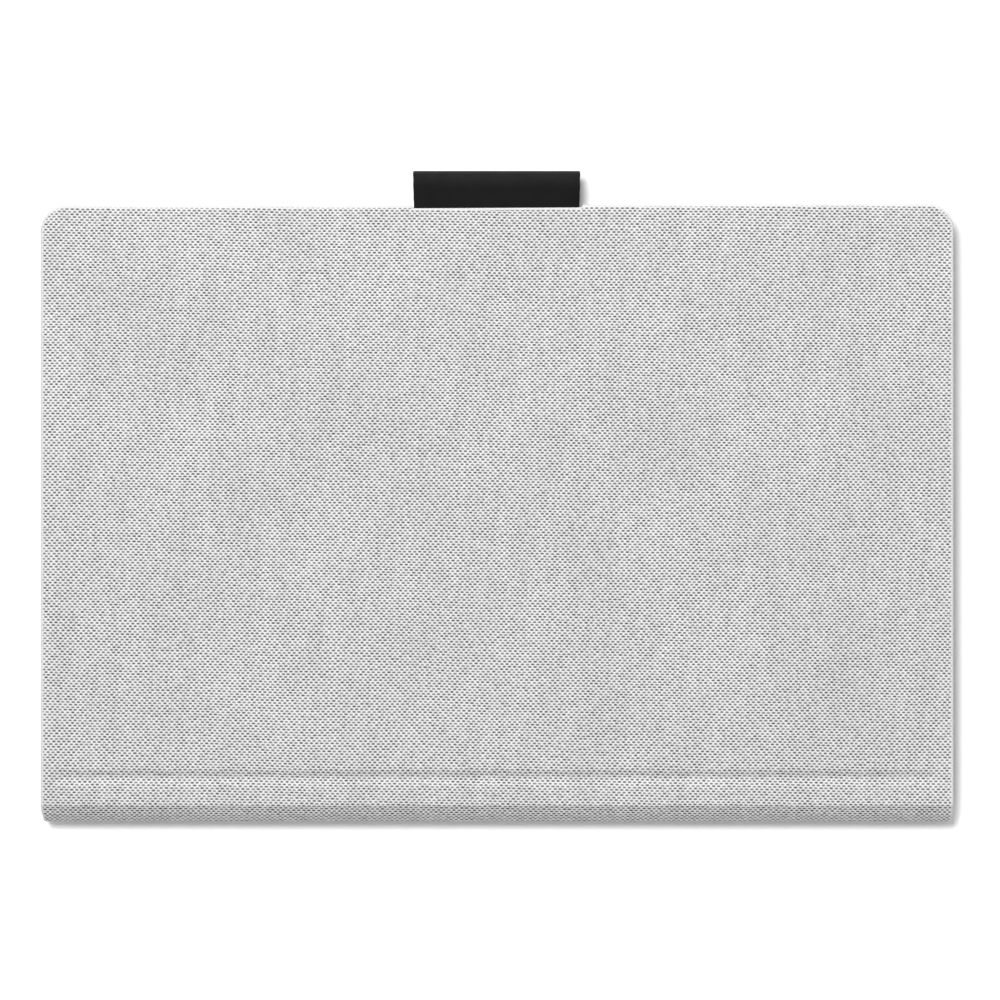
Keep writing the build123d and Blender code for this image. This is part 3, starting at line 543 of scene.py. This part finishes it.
def solids_of(node):
    """Lowest and highest corners of a CAD node's separate solids, row by row."""
    work = bmesh.new()
    work.from_mesh(frame["nodes"][node].data)
    bmesh.ops.remove_doubles(work, verts=work.verts, dist=1e-7)
    seen, boxes = set(), []
    for start in work.verts:
        if start.index in seen:
            continue
        stack, group = [start], []
        seen.add(start.index)
        while stack:
            v = stack.pop()
            group.append(tuple(v.co))
            for edge in v.link_edges:
                other = edge.other_vert(v)
                if other.index not in seen:
                    seen.add(other.index)
                    stack.append(other)
        co = np.array(group)
        boxes.append((co.min(0), co.max(0)))
    work.free()
    boxes.sort(key=lambda box: (round(box[0][1], 4), box[0][0]))
    return boxes


def key_cap(low, high):
    """Rings of one cap, from its flange to the middle of its dish."""
    cx, cy = (low[0] + high[0]) / 2, (low[1] + high[1]) / 2
    hx = (high[0] - low[0]) / 2 - KEY_FLANGE * MM
    hy = (high[1] - low[1]) / 2 - KEY_FLANGE * MM
    rows = [(grow * MM, high[2] + z * MM) for grow, z in KEY_FLANGE_ROWS]
    rows += [(grow * MM, low[2] + z * MM) for grow, z in KEY_FACE_ROWS]
    last_grow, last_z = rows[-1]
    for share in KEY_DISH_SHARES:
        dip = KEY_DISH * MM * math.sin(share * math.pi / 2)
        rows.append((last_grow - share * (min(hx, hy) + last_grow), last_z + dip))
    rings = []
    for grow, z in rows:
        r = max(KEY_CORNER_R * MM + grow, KEY_CORNER_LEAST * MM)
        rings.append(rounded_ring(cx, cy, hx + grow, hy + grow, r, z))
    return rings


def home_bar(low, high):
    """Rings of the small raised bar on a home key, near the edge towards the palm rest."""
    cx = (low[0] + high[0]) / 2
    cy = high[1] - HOME_BAR_FROM_SIDE * MM
    half_x, half_y = HOME_BAR_HALF
    rings = []
    for grow, z in HOME_BAR_ROWS:
        sizes = [(size + grow) * MM for size in (half_x, half_y, half_y)]
        rings.append(rounded_ring(cx, cy, *sizes, low[2] + z * MM, 3))
    return rings


key_nodes = sorted(n for n in frame["nodes"] if n.endswith("_keys") or n.endswith("_key"))
keys_of = {node: solids_of(node) for node in key_nodes}
cap_pieces = {}
for node, keys in keys_of.items():
    shapes = [key_cap(*key) for key in keys]
    if node == "home_letter_keys":
        shapes += [home_bar(*keys[i]) for i in HOME_BAR_KEYS]
    cap_pieces[node] = closed_mesh(node + "_caps", shapes, 55)


# ---- Rubber domes: a thin sheet, and one dome under each key ----

WEB_T = 0.3 * MM
WEB_SOFT = 0.06 * MM
WEB_CORNER_R = 2 * MM
DOME_BASE_Z = web_high.z - WEB_T
DOME_STEPS = 24

# Radius and height from the base, in mm
DOME_RINGS = [
    (2.2, 0.05), (2.2, -0.12), (2.12, -0.35), (1.7, -1.45), (1.5, -2.0), (1.42, -2.15), (1.28, -2.24),
    (1.05, -2.25), (0.8, -2.25), (0.7, -2.12), (0.35, -2.1),
]


def dome(low, high):
    """Rings of one dome, which points down at its key from the sheet above it."""
    cx, cy = (low[0] + high[0]) / 2, (low[1] + high[1]) / 2
    angles = [2 * math.pi * i / DOME_STEPS for i in range(DOME_STEPS)]
    return [
        [(cx + r * MM * math.cos(a), cy + r * MM * math.sin(a), DOME_BASE_Z + z * MM) for a in angles]
        for r, z in DOME_RINGS
    ]


def dome_sheet():
    """Rings of the sheet that carries the domes."""
    middle = (web_low + web_high) / 2
    half = (web_high - web_low) / 2
    rings = []
    for inset, z in (
        (WEB_SOFT, DOME_BASE_Z), (0.0, DOME_BASE_Z + WEB_SOFT),
        (0.0, web_high.z - WEB_SOFT), (WEB_SOFT, web_high.z),
    ):
        rings.append(rounded_ring(middle.x, middle.y, half.x - inset, half.y - inset, WEB_CORNER_R, z))
    return rings


dome_pieces = {}
for node, keys in keys_of.items():
    dome_pieces[node] = closed_mesh(node + "_domes", [dome(*key) for key in keys], 60)
dome_web = closed_mesh("rubber_dome_web", [dome_sheet()], 60)


# ---- Node helpers for materials ----


class Nodes:
    """Short calls for building a material's node tree."""

    def __init__(self, name):
        self.material = bpy.data.materials.new(name)
        self.material.use_nodes = True
        self.tree = self.material.node_tree
        self.bsdf = self.tree.nodes["Principled BSDF"]

    def add(self, kind, **settings):
        node = self.tree.nodes.new(kind)
        for key, value in settings.items():
            setattr(node, key, value)
        return node

    def link(self, source, target):
        """Feeds a socket from another node, or sets its value; a colour is given as three numbers."""
        if isinstance(source, bpy.types.NodeSocket):
            self.tree.links.new(source, target)
        elif target.type == "RGBA":
            target.default_value = (*source, 1.0)
        else:
            target.default_value = source

    def math(self, operation, a, b=0.0, c=0.0):
        node = self.add("ShaderNodeMath", operation=operation)
        for socket, value in zip(node.inputs, (a, b, c)):
            self.link(value, socket)
        return node.outputs[0]

    def nudge(self, base, chance, amount):
        """base, moved by up to half of amount either way as chance goes from 0 to 1."""
        return self.math("ADD", base, self.math("MULTIPLY", self.math("SUBTRACT", chance, 0.5), amount))

    def smooth(self, value, low, high, to_low=0.0, to_high=1.0):
        node = self.add("ShaderNodeMapRange", interpolation_type="SMOOTHSTEP")
        for socket, v in zip(node.inputs, (value, low, high, to_low, to_high)):
            self.link(v, socket)
        return node.outputs[0]

    def noise(self, vector, scale, detail=2.0, roughness=0.5):
        node = self.add("ShaderNodeTexNoise")
        self.link(vector, node.inputs["Vector"])
        node.inputs["Scale"].default_value = scale
        node.inputs["Detail"].default_value = detail
        node.inputs["Roughness"].default_value = roughness
        return node.outputs["Fac"]

    def mix(self, factor, a, b):
        node = self.add("ShaderNodeMix", data_type="RGBA")
        self.link(factor, node.inputs[0])
        self.link(a, node.inputs[6])
        self.link(b, node.inputs[7])
        return node.outputs[2]

    def scale(self, colour, factor):
        node = self.add("ShaderNodeVectorMath", operation="SCALE")
        self.link(colour, node.inputs[0])
        self.link(factor, node.inputs["Scale"])
        return node.outputs[0]

    def vector(self, x, y, z=0.0):
        node = self.add("ShaderNodeCombineXYZ")
        for socket, value in zip(node.inputs, (x, y, z)):
            self.link(value, socket)
        return node.outputs[0]

    def split(self, vector):
        node = self.add("ShaderNodeSeparateXYZ")
        self.link(vector, node.inputs[0])
        return node.outputs

    def attribute(self, name, output="Vector"):
        return self.add("ShaderNodeAttribute", attribute_name=name).outputs[output]

    def object_space(self):
        return self.add("ShaderNodeTexCoord").outputs["Object"]

    def bump(self, height, distance, strength):
        node = self.add("ShaderNodeBump")
        node.inputs["Strength"].default_value = strength
        node.inputs["Distance"].default_value = distance
        self.link(height, node.inputs["Height"])
        return node.outputs[0]

    def finish(self, **inputs):
        """Sets inputs of the surface, by their names with _ for a space, and gives the material."""
        for key, value in inputs.items():
            self.link(value, self.bsdf.inputs[key.replace("_", " ")])
        return self.material


def dress(obj, material):
    """Gives the object this one material."""
    obj.data.materials.clear()
    obj.data.materials.append(material)


# ---- Woven cover cloth: pale threads with grey dashes, offset by half a dash on every other row ----

DASH_STEP = 1.684 * MM
THREAD_STEP = 0.8695 * MM
LEAN_ACROSS = math.tan(math.radians(2.6))  # the weave isn't quite square to the case
LEAN_DOWN = -math.tan(math.radians(0.9))
DRIFT_ACROSS = 1.3 * MM
DRIFT_DOWN = 1.1 * MM
# Fade of the painted shade on the grey dashes over the rolled spine
ROLL_SHADE_FADE = 0.6 * MM


def woven_cloth():
    n = Nodes("woven_cloth")
    at = n.attribute("cloth")
    across_cloth, down_cloth, _ = n.split(at)

    # Place in the weave, with a slight lean and drift
    u = n.math("MULTIPLY_ADD", down_cloth, LEAN_ACROSS, across_cloth)
    v = n.math("MULTIPLY_ADD", across_cloth, LEAN_DOWN, down_cloth)
    drift_u = n.noise(at, 24.0)
    drift_v = n.noise(n.vector(v, u), 20.0)
    u = n.nudge(u, drift_u, DRIFT_ACROSS)
    v = n.nudge(v, drift_v, DRIFT_DOWN)
    rows = n.math("DIVIDE", v, THREAD_STEP)
    row = n.math("FLOOR", rows)
    shift = n.math("MULTIPLY", n.math("FLOORED_MODULO", row, 2.0), 0.5)
    dashes = n.math("ADD", n.math("DIVIDE", u, DASH_STEP), shift)
    cell = n.math("FLOOR", dashes)

    # Each dash is an oval with a frayed edge, whose place, length and shade vary
    chance = n.add("ShaderNodeTexWhiteNoise", noise_dimensions="2D")
    n.link(n.vector(cell, row), chance.inputs["Vector"])
    chance_1, chance_2, chance_3 = n.split(chance.outputs["Color"])
    across = n.nudge(n.math("SUBTRACT", n.math("SUBTRACT", dashes, cell), 0.5), chance_1, 0.08)
    along = n.nudge(n.math("SUBTRACT", n.math("SUBTRACT", rows, row), 0.5), chance_2, 0.1)
    half_long = n.nudge(0.42, chance_3, 0.08)
    x2 = n.math("POWER", n.math("ABSOLUTE", n.math("DIVIDE", across, half_long)), 2.0)
    y2 = n.math("POWER", n.math("ABSOLUTE", n.math("DIVIDE", along, 0.46)), 2.0)
    fibre = n.noise(at, 5200.0, 2.0, 0.6)
    oval = n.nudge(n.math("SQRT", n.math("ADD", x2, y2)), fibre, 0.7)
    dash = n.math("SUBTRACT", 1.0, n.smooth(oval, 0.5, 1.2))

    # The dashes nearly vanish on the turned edge
    edge = n.attribute("turned_edge", "Fac")
    dash = n.math("MULTIPLY", dash, n.math("MULTIPLY_ADD", edge, -0.85, 1.0))
    strength = n.math("MULTIPLY", dash, n.math("MULTIPLY_ADD", chance_2, 0.22, 0.8))

    # Pale and grey thread; the grey is darkened over the roll and the spine as painted shade, for the rolled
    # facets that turn away from the light
    pale = n.mix(n.math("MULTIPLY", fibre, 0.9), (0.62, 0.62, 0.62), (0.355, 0.355, 0.355))
    grey = n.mix(chance_1, (0.055, 0.055, 0.055), (0.088, 0.088, 0.088))
    from_spine = n.math("ABSOLUTE", n.math("SUBTRACT", down_cloth, SPINE_MID_S))
    # Painted shade: the dashes darken where the cloth rolls over the spine
    painted_roll_shade = n.smooth(from_spine, ROLL_FROM_MID + ROLL_SHADE_FADE, ROLL_FROM_MID - ROLL_SHADE_FADE)
    grey = n.scale(grey, n.math("MULTIPLY_ADD", painted_roll_shade, -0.45, 1.0))

    # Streaks and clouds over the whole cloth, and a slightly darker turned edge
    streak = n.noise(n.vector(n.math("MULTIPLY", u, 6.0), v), 30.0, 3.0, 0.6)
    cloud = n.noise(at, 22.0, 3.0, 0.55)
    tone = n.math("ADD", n.math("MULTIPLY", streak, 0.5), n.math("MULTIPLY", cloud, 0.5))
    lightness = n.smooth(tone, 0.35, 0.65, 0.94, 1.03)
    lightness = n.math("MULTIPLY", lightness, n.math("MULTIPLY_ADD", edge, -0.08, 1.0))
    colour = n.scale(n.mix(strength, pale, grey), lightness)

    # Rounded threads, of which the grey ones lie lower
    thread = n.math("MULTIPLY", n.math("COSINE", n.math("MULTIPLY", along, math.pi)), 0.6)
    height = n.math("ADD", n.math("MULTIPLY", n.math("SUBTRACT", 1.0, dash), 0.7), thread)
    height = n.math("ADD", height, n.math("MULTIPLY", fibre, 0.35))
    return n.finish(Base_Color=colour, Roughness=0.85, Normal=n.bump(height, 0.1 * MM, 0.72),
                    Sheen_Weight=0.12, Sheen_Roughness=0.5, Specular_IOR_Level=0.25)


def microfibre():
    """Lining with a short nap, brushed a little lighter and darker in patches."""
    n = Nodes("microfibre")
    at = n.object_space()
    nap = n.noise(at, 700.0, 4.0, 0.65)
    brushed = n.noise(at, 18.0)
    grain = n.noise(at, 2600.0, 3.0, 0.7)
    colour = n.mix(n.smooth(brushed, 0.25, 0.75), (0.055, 0.056, 0.061), (0.063, 0.064, 0.07))
    colour = n.mix(n.math("MULTIPLY", n.smooth(nap, 0.4, 0.75), 0.35), colour, (0.1, 0.102, 0.11))
    height = n.math("ADD", grain, n.math("MULTIPLY", nap, 0.8))
    return n.finish(Base_Color=colour, Roughness=0.95, Normal=n.bump(height, 0.08 * MM, 0.8),
                    Sheen_Weight=0.45, Sheen_Roughness=0.4, Specular_IOR_Level=0.15)


def grained_strap():
    """Coated strap with a fine pebbled grain."""
    n = Nodes("grained_strap")
    at = n.object_space()
    cells = n.add("ShaderNodeTexVoronoi", feature="DISTANCE_TO_EDGE")
    n.link(at, cells.inputs["Vector"])
    cells.inputs["Scale"].default_value = 1900.0
    pebble = n.smooth(cells.outputs["Distance"], 0.0, 0.2)
    wear = n.noise(at, 160.0, 3.0, 0.6)
    fine = n.noise(at, 5200.0, 2.0, 0.6)
    colour = n.mix(wear, (0.0014, 0.0014, 0.0015), (0.0022, 0.0022, 0.0024))
    height = n.math("ADD", pebble, n.math("MULTIPLY", fine, 0.25))
    rough = n.smooth(wear, 0.3, 0.7, 0.62, 0.7)
    return n.finish(Base_Color=colour, Roughness=rough, Normal=n.bump(height, 0.03 * MM, 0.6),
                    Specular_IOR_Level=0.07, Sheen_Weight=0.05, Sheen_Roughness=0.35)


def moulded(name, dark, light, roughness, grain=2800.0, depth=0.02):
    """Moulded plastic or rubber: fine spark texture (depth in mm), slight mottling and uneven gloss."""
    n = Nodes(name)
    at = n.object_space()
    mottle = n.noise(at, 420.0, 4.0, 0.65)
    fine = n.noise(at, grain, 2.0, 0.6)
    colour = n.mix(n.smooth(mottle, 0.25, 0.75), dark, light)
    rough = n.smooth(mottle, 0.3, 0.7, *roughness)
    return n.finish(Base_Color=colour, Roughness=rough, Normal=n.bump(fine, depth * MM, 0.6))


def brushed_metal(name, dark, light, roughness):
    """Metal with long fine brush lines along the spine direction."""
    n = Nodes(name)
    x, y, z = n.split(n.object_space())
    lines = n.noise(n.vector(n.math("MULTIPLY", x, 0.03), y, z), 4200.0, 3.0, 0.6)
    colour = n.mix(lines, dark, light)
    rough = n.smooth(lines, 0.3, 0.7, *roughness)
    return n.finish(Base_Color=colour, Metallic=1.0, Roughness=rough, Normal=n.bump(lines, 0.004 * MM, 0.3))


# Slot: name, darkest and lightest colour, range of roughness, then the grain and its depth if not the usual
MOULDED = {
    "deck_plastic": ("deck_plastic", (0.05, 0.051, 0.055), (0.058, 0.059, 0.064), (0.55, 0.62)),
    "key_plastic": (
        "key_plastic", (0.0075, 0.0075, 0.0085), (0.0095, 0.0095, 0.0105), (0.55, 0.62), 3600.0, 0.012,
    ),
    "touchpad_glass": (
        "touchpad_surface", (0.036, 0.037, 0.041), (0.039, 0.04, 0.044), (0.34, 0.38), 5200.0, 0.004,
    ),
    "rubber": ("soft_rubber", (0.02, 0.02, 0.021), (0.032, 0.032, 0.034), (0.7, 0.85), 1800.0),
    "dome_silicone": ("dome_silicone", (0.5, 0.51, 0.53), (0.58, 0.59, 0.61), (0.45, 0.55)),
    "membrane_film": ("membrane_film", (0.32, 0.37, 0.35), (0.38, 0.43, 0.41), (0.25, 0.35)),
    "circuit": ("solder_mask", (0.02, 0.11, 0.055), (0.035, 0.16, 0.08), (0.35, 0.5)),
    "battery_pouch": ("battery_foil", (0.3, 0.31, 0.33), (0.4, 0.41, 0.43), (0.35, 0.5), 400.0, 0.05),
    "tray_plastic": ("tray_plastic", (0.032, 0.033, 0.036), (0.039, 0.04, 0.044), (0.52, 0.6), 2200.0, 0.03),
    "tray_rubber": ("tray_rubber", (0.023, 0.023, 0.025), (0.027, 0.027, 0.03), (0.66, 0.75), 2400.0),
    "stiffener": ("fibreboard", (0.13, 0.12, 0.11), (0.2, 0.19, 0.17), (0.85, 0.95), 900.0, 0.06),
    "light_window": ("light_pipe", (0.8, 0.83, 0.85), (0.86, 0.89, 0.92), (0.2, 0.3)),
}
METALS = {
    "base_metal": ("base_sheet", (0.5, 0.5, 0.52), (0.62, 0.62, 0.64), (0.28, 0.42)),
    "steel": ("bright_steel", (0.42, 0.42, 0.43), (0.58, 0.58, 0.6), (0.21, 0.35)),
    "magnet": ("nickel", (0.55, 0.54, 0.52), (0.68, 0.67, 0.65), (0.13, 0.27)),
}
looks = {slot: moulded(*values) for slot, values in MOULDED.items()}
looks |= {slot: brushed_metal(*values) for slot, values in METALS.items()}
looks |= {"cover_fabric": woven_cloth(), "lining": microfibre(), "pen_leather": grained_strap()}

slot_of = {part["node"]: part["material_slot"] for part in frame["record"]["subparts"]}
for node, obj in frame["nodes"].items():
    dress(obj, looks[slot_of[node]])

# Radius of the edges of the CAD nodes that show, in mm; a modifier leaves their own meshes as they are
ROUNDED = {
    "tray_rim": 0.35, "tray_shell": 0.25, "keyboard_top_case": 0.18, "touchpad": 0.2, "prop_panel": 0.3,
    "tray_hinge_bracket": 0.12, "deck_bumpers": 0.3, "power_switch": 0.2, "usb_socket": 0.08,
}
for node, width in ROUNDED.items():
    rounding = frame["nodes"][node].modifiers.new("rounding", "BEVEL")
    rounding.width = width * MM
    rounding.segments = 2
    rounding.limit_method = "ANGLE"
    rounding.angle_limit = math.radians(35)
    rounding.use_clamp_overlap = True
    rounding.harden_normals = True


# ---- Which CAD nodes each piece stands for, and which body it rides on ----


def stand_for(piece, slot, *nodes):
    """Puts a piece in the place of these CAD nodes, in its slot's material."""
    dress(piece, looks[slot])
    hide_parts(*nodes)


stand_for(rear_skin, "cover_fabric", "rear_cover_fabric")
stand_for(rear_lining, "lining", "rear_cover_lining")
stand_for(spine_skin, "cover_fabric", "spine_fabric")
stand_for(spine_lining, "lining", "spine_lining")
stand_for(front_skin, "cover_fabric", "hinge_strip_fabric", "front_cover_fabric")
stand_for(front_lining, "lining", "hinge_strip_lining", "front_cover_lining")

# Each sheet's placement is baked into its mesh
for sheet in (rear_skin, rear_lining):
    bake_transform(sheet)
for sheet in (spine_skin, spine_lining):
    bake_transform(sheet)
for sheet in (front_skin, front_lining):
    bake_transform(sheet)

stand_for(pen_loop, "pen_leather", "pen_loop")
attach(pen_loop, "front_cover")

for node, caps in cap_pieces.items():
    stand_for(caps, "key_plastic", node)
    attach(caps, node)

stand_for(dome_web, "dome_silicone", "rubber_dome_sheet")
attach(dome_web, "front_cover")
for node, domes in dome_pieces.items():
    stand_for(domes, "dome_silicone", "rubber_dome_sheet")
    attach(domes, "front_cover")
    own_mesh(domes)


# ---- Floor, light and camera ----

FLOOR_HALF = 1.7
FLOOR_DROP = 0.05 * MM
GLOW_FROM, GLOW_FULL = 0.45, 1.0  # distances from the origin
GLOW = 0.55


def pale_floor():
    """A pale sheet that fades into the white background well away from the case."""
    n = Nodes("pale_floor")
    away = n.add("ShaderNodeVectorMath", operation="LENGTH")
    n.link(n.object_space(), away.inputs[0])
    glow = n.smooth(away.outputs["Value"], GLOW_FROM, GLOW_FULL, 0.0, GLOW)
    n.finish(Base_Color=(0.95, 0.95, 0.95), Roughness=0.9, Specular_IOR_Level=0.1,
             Emission_Color=(1.0, 1.0, 1.0), Emission_Strength=glow)
    corners = [(x * FLOOR_HALF, y * FLOOR_HALF, 0) for x, y in ((-1, -1), (1, -1), (1, 1), (-1, 1))]
    floor = new_mesh("floor", corners, [(0, 1, 2, 3)])
    floor.location.z = -FLOOR_DROP
    dress(floor, n.material)
    return floor


def softbox(name, place, size, power):
    """A round soft light that faces the case."""
    lamp = bpy.data.lights.new(name, "AREA")
    lamp.shape = "DISK"
    lamp.size = size
    lamp.energy = power
    obj = bpy.data.objects.new(name, lamp)
    bpy.context.scene.collection.objects.link(obj)
    obj.location = place
    obj.rotation_euler = (-Vector(place)).to_track_quat("-Z", "Y").to_euler()
    return obj


def link_light(light, obj, state):
    """Lights only this object (INCLUDE), or all but this object (EXCLUDE)."""
    receivers = bpy.data.collections.new("lit_by_" + light.name)
    receivers.objects.link(obj)
    light.light_linking.receiver_collection = receivers
    receivers.collection_objects[0].light_linking.link_state = state


floor = pale_floor()
softbox("overhead_softbox", place=(-0.37, 0.52, 3.2), size=0.74, power=101.0)
side_light = softbox("side_softbox", place=(0.02, 1.35, 1.0), size=0.6, power=20.5)
link_light(side_light, floor, "EXCLUDE")
low_light = softbox("low_softbox", place=(-0.3, 3.0, 0.75), size=1.4, power=90.0)
low_light.visible_diffuse = False
link_light(low_light, pen_loop, "INCLUDE")

# The camera sees a white background, and a dimmer one lights the case
SKY_LIGHT = 0.56
world = bpy.data.worlds.new("studio")
bpy.context.scene.world = world
world.use_nodes = True
sky = world.node_tree.nodes["Background"]
seen = world.node_tree.nodes.new("ShaderNodeLightPath").outputs["Is Camera Ray"]
level = world.node_tree.nodes.new("ShaderNodeMapRange")
level.inputs["To Min"].default_value = SKY_LIGHT
level.inputs["To Max"].default_value = 1.0
world.node_tree.links.new(seen, level.inputs["Value"])
world.node_tree.links.new(level.outputs["Result"], sky.inputs["Strength"])
sky.inputs["Color"].default_value = (1, 1, 1, 1)

# A long lens looks straight down at the case, as in the photograph
FRAME_W = 329.05 * MM  # width of the picture at the height of the top face
CENTRE = (0.96 * MM, 4.05 * MM)
camera_data = bpy.data.cameras.new("camera")
camera_data.lens = 300.0
camera_data.sensor_width = 36.0
camera_data.clip_end = 100.0
camera = bpy.data.objects.new("camera", camera_data)
bpy.context.scene.collection.objects.link(camera)
camera.location = (*CENTRE, TOP_Z + FRAME_W * camera_data.lens / camera_data.sensor_width)

# As the cover swings over onto the desk, the camera backs off along its own line of sight and recentres
OPEN_CENTRE_SHIFT = -119 * MM
OPEN_BACK_OFF = 1.25
follow = camera.constraints.new("TRANSFORM")
follow.target = frame["bodies"]["hinge_strip"]
follow.map_from = "ROTATION"
follow.from_min_x_rot = math.radians(60)
follow.from_max_x_rot = math.radians(150)
follow.map_to = "LOCATION"
follow.map_to_x_from = follow.map_to_y_from = follow.map_to_z_from = "X"
follow.to_max_y = OPEN_CENTRE_SHIFT
follow.to_max_z = OPEN_BACK_OFF
follow.mix_mode = "ADD"
bpy.context.scene.camera = camera
bpy.context.scene.view_settings.view_transform = "Standard"
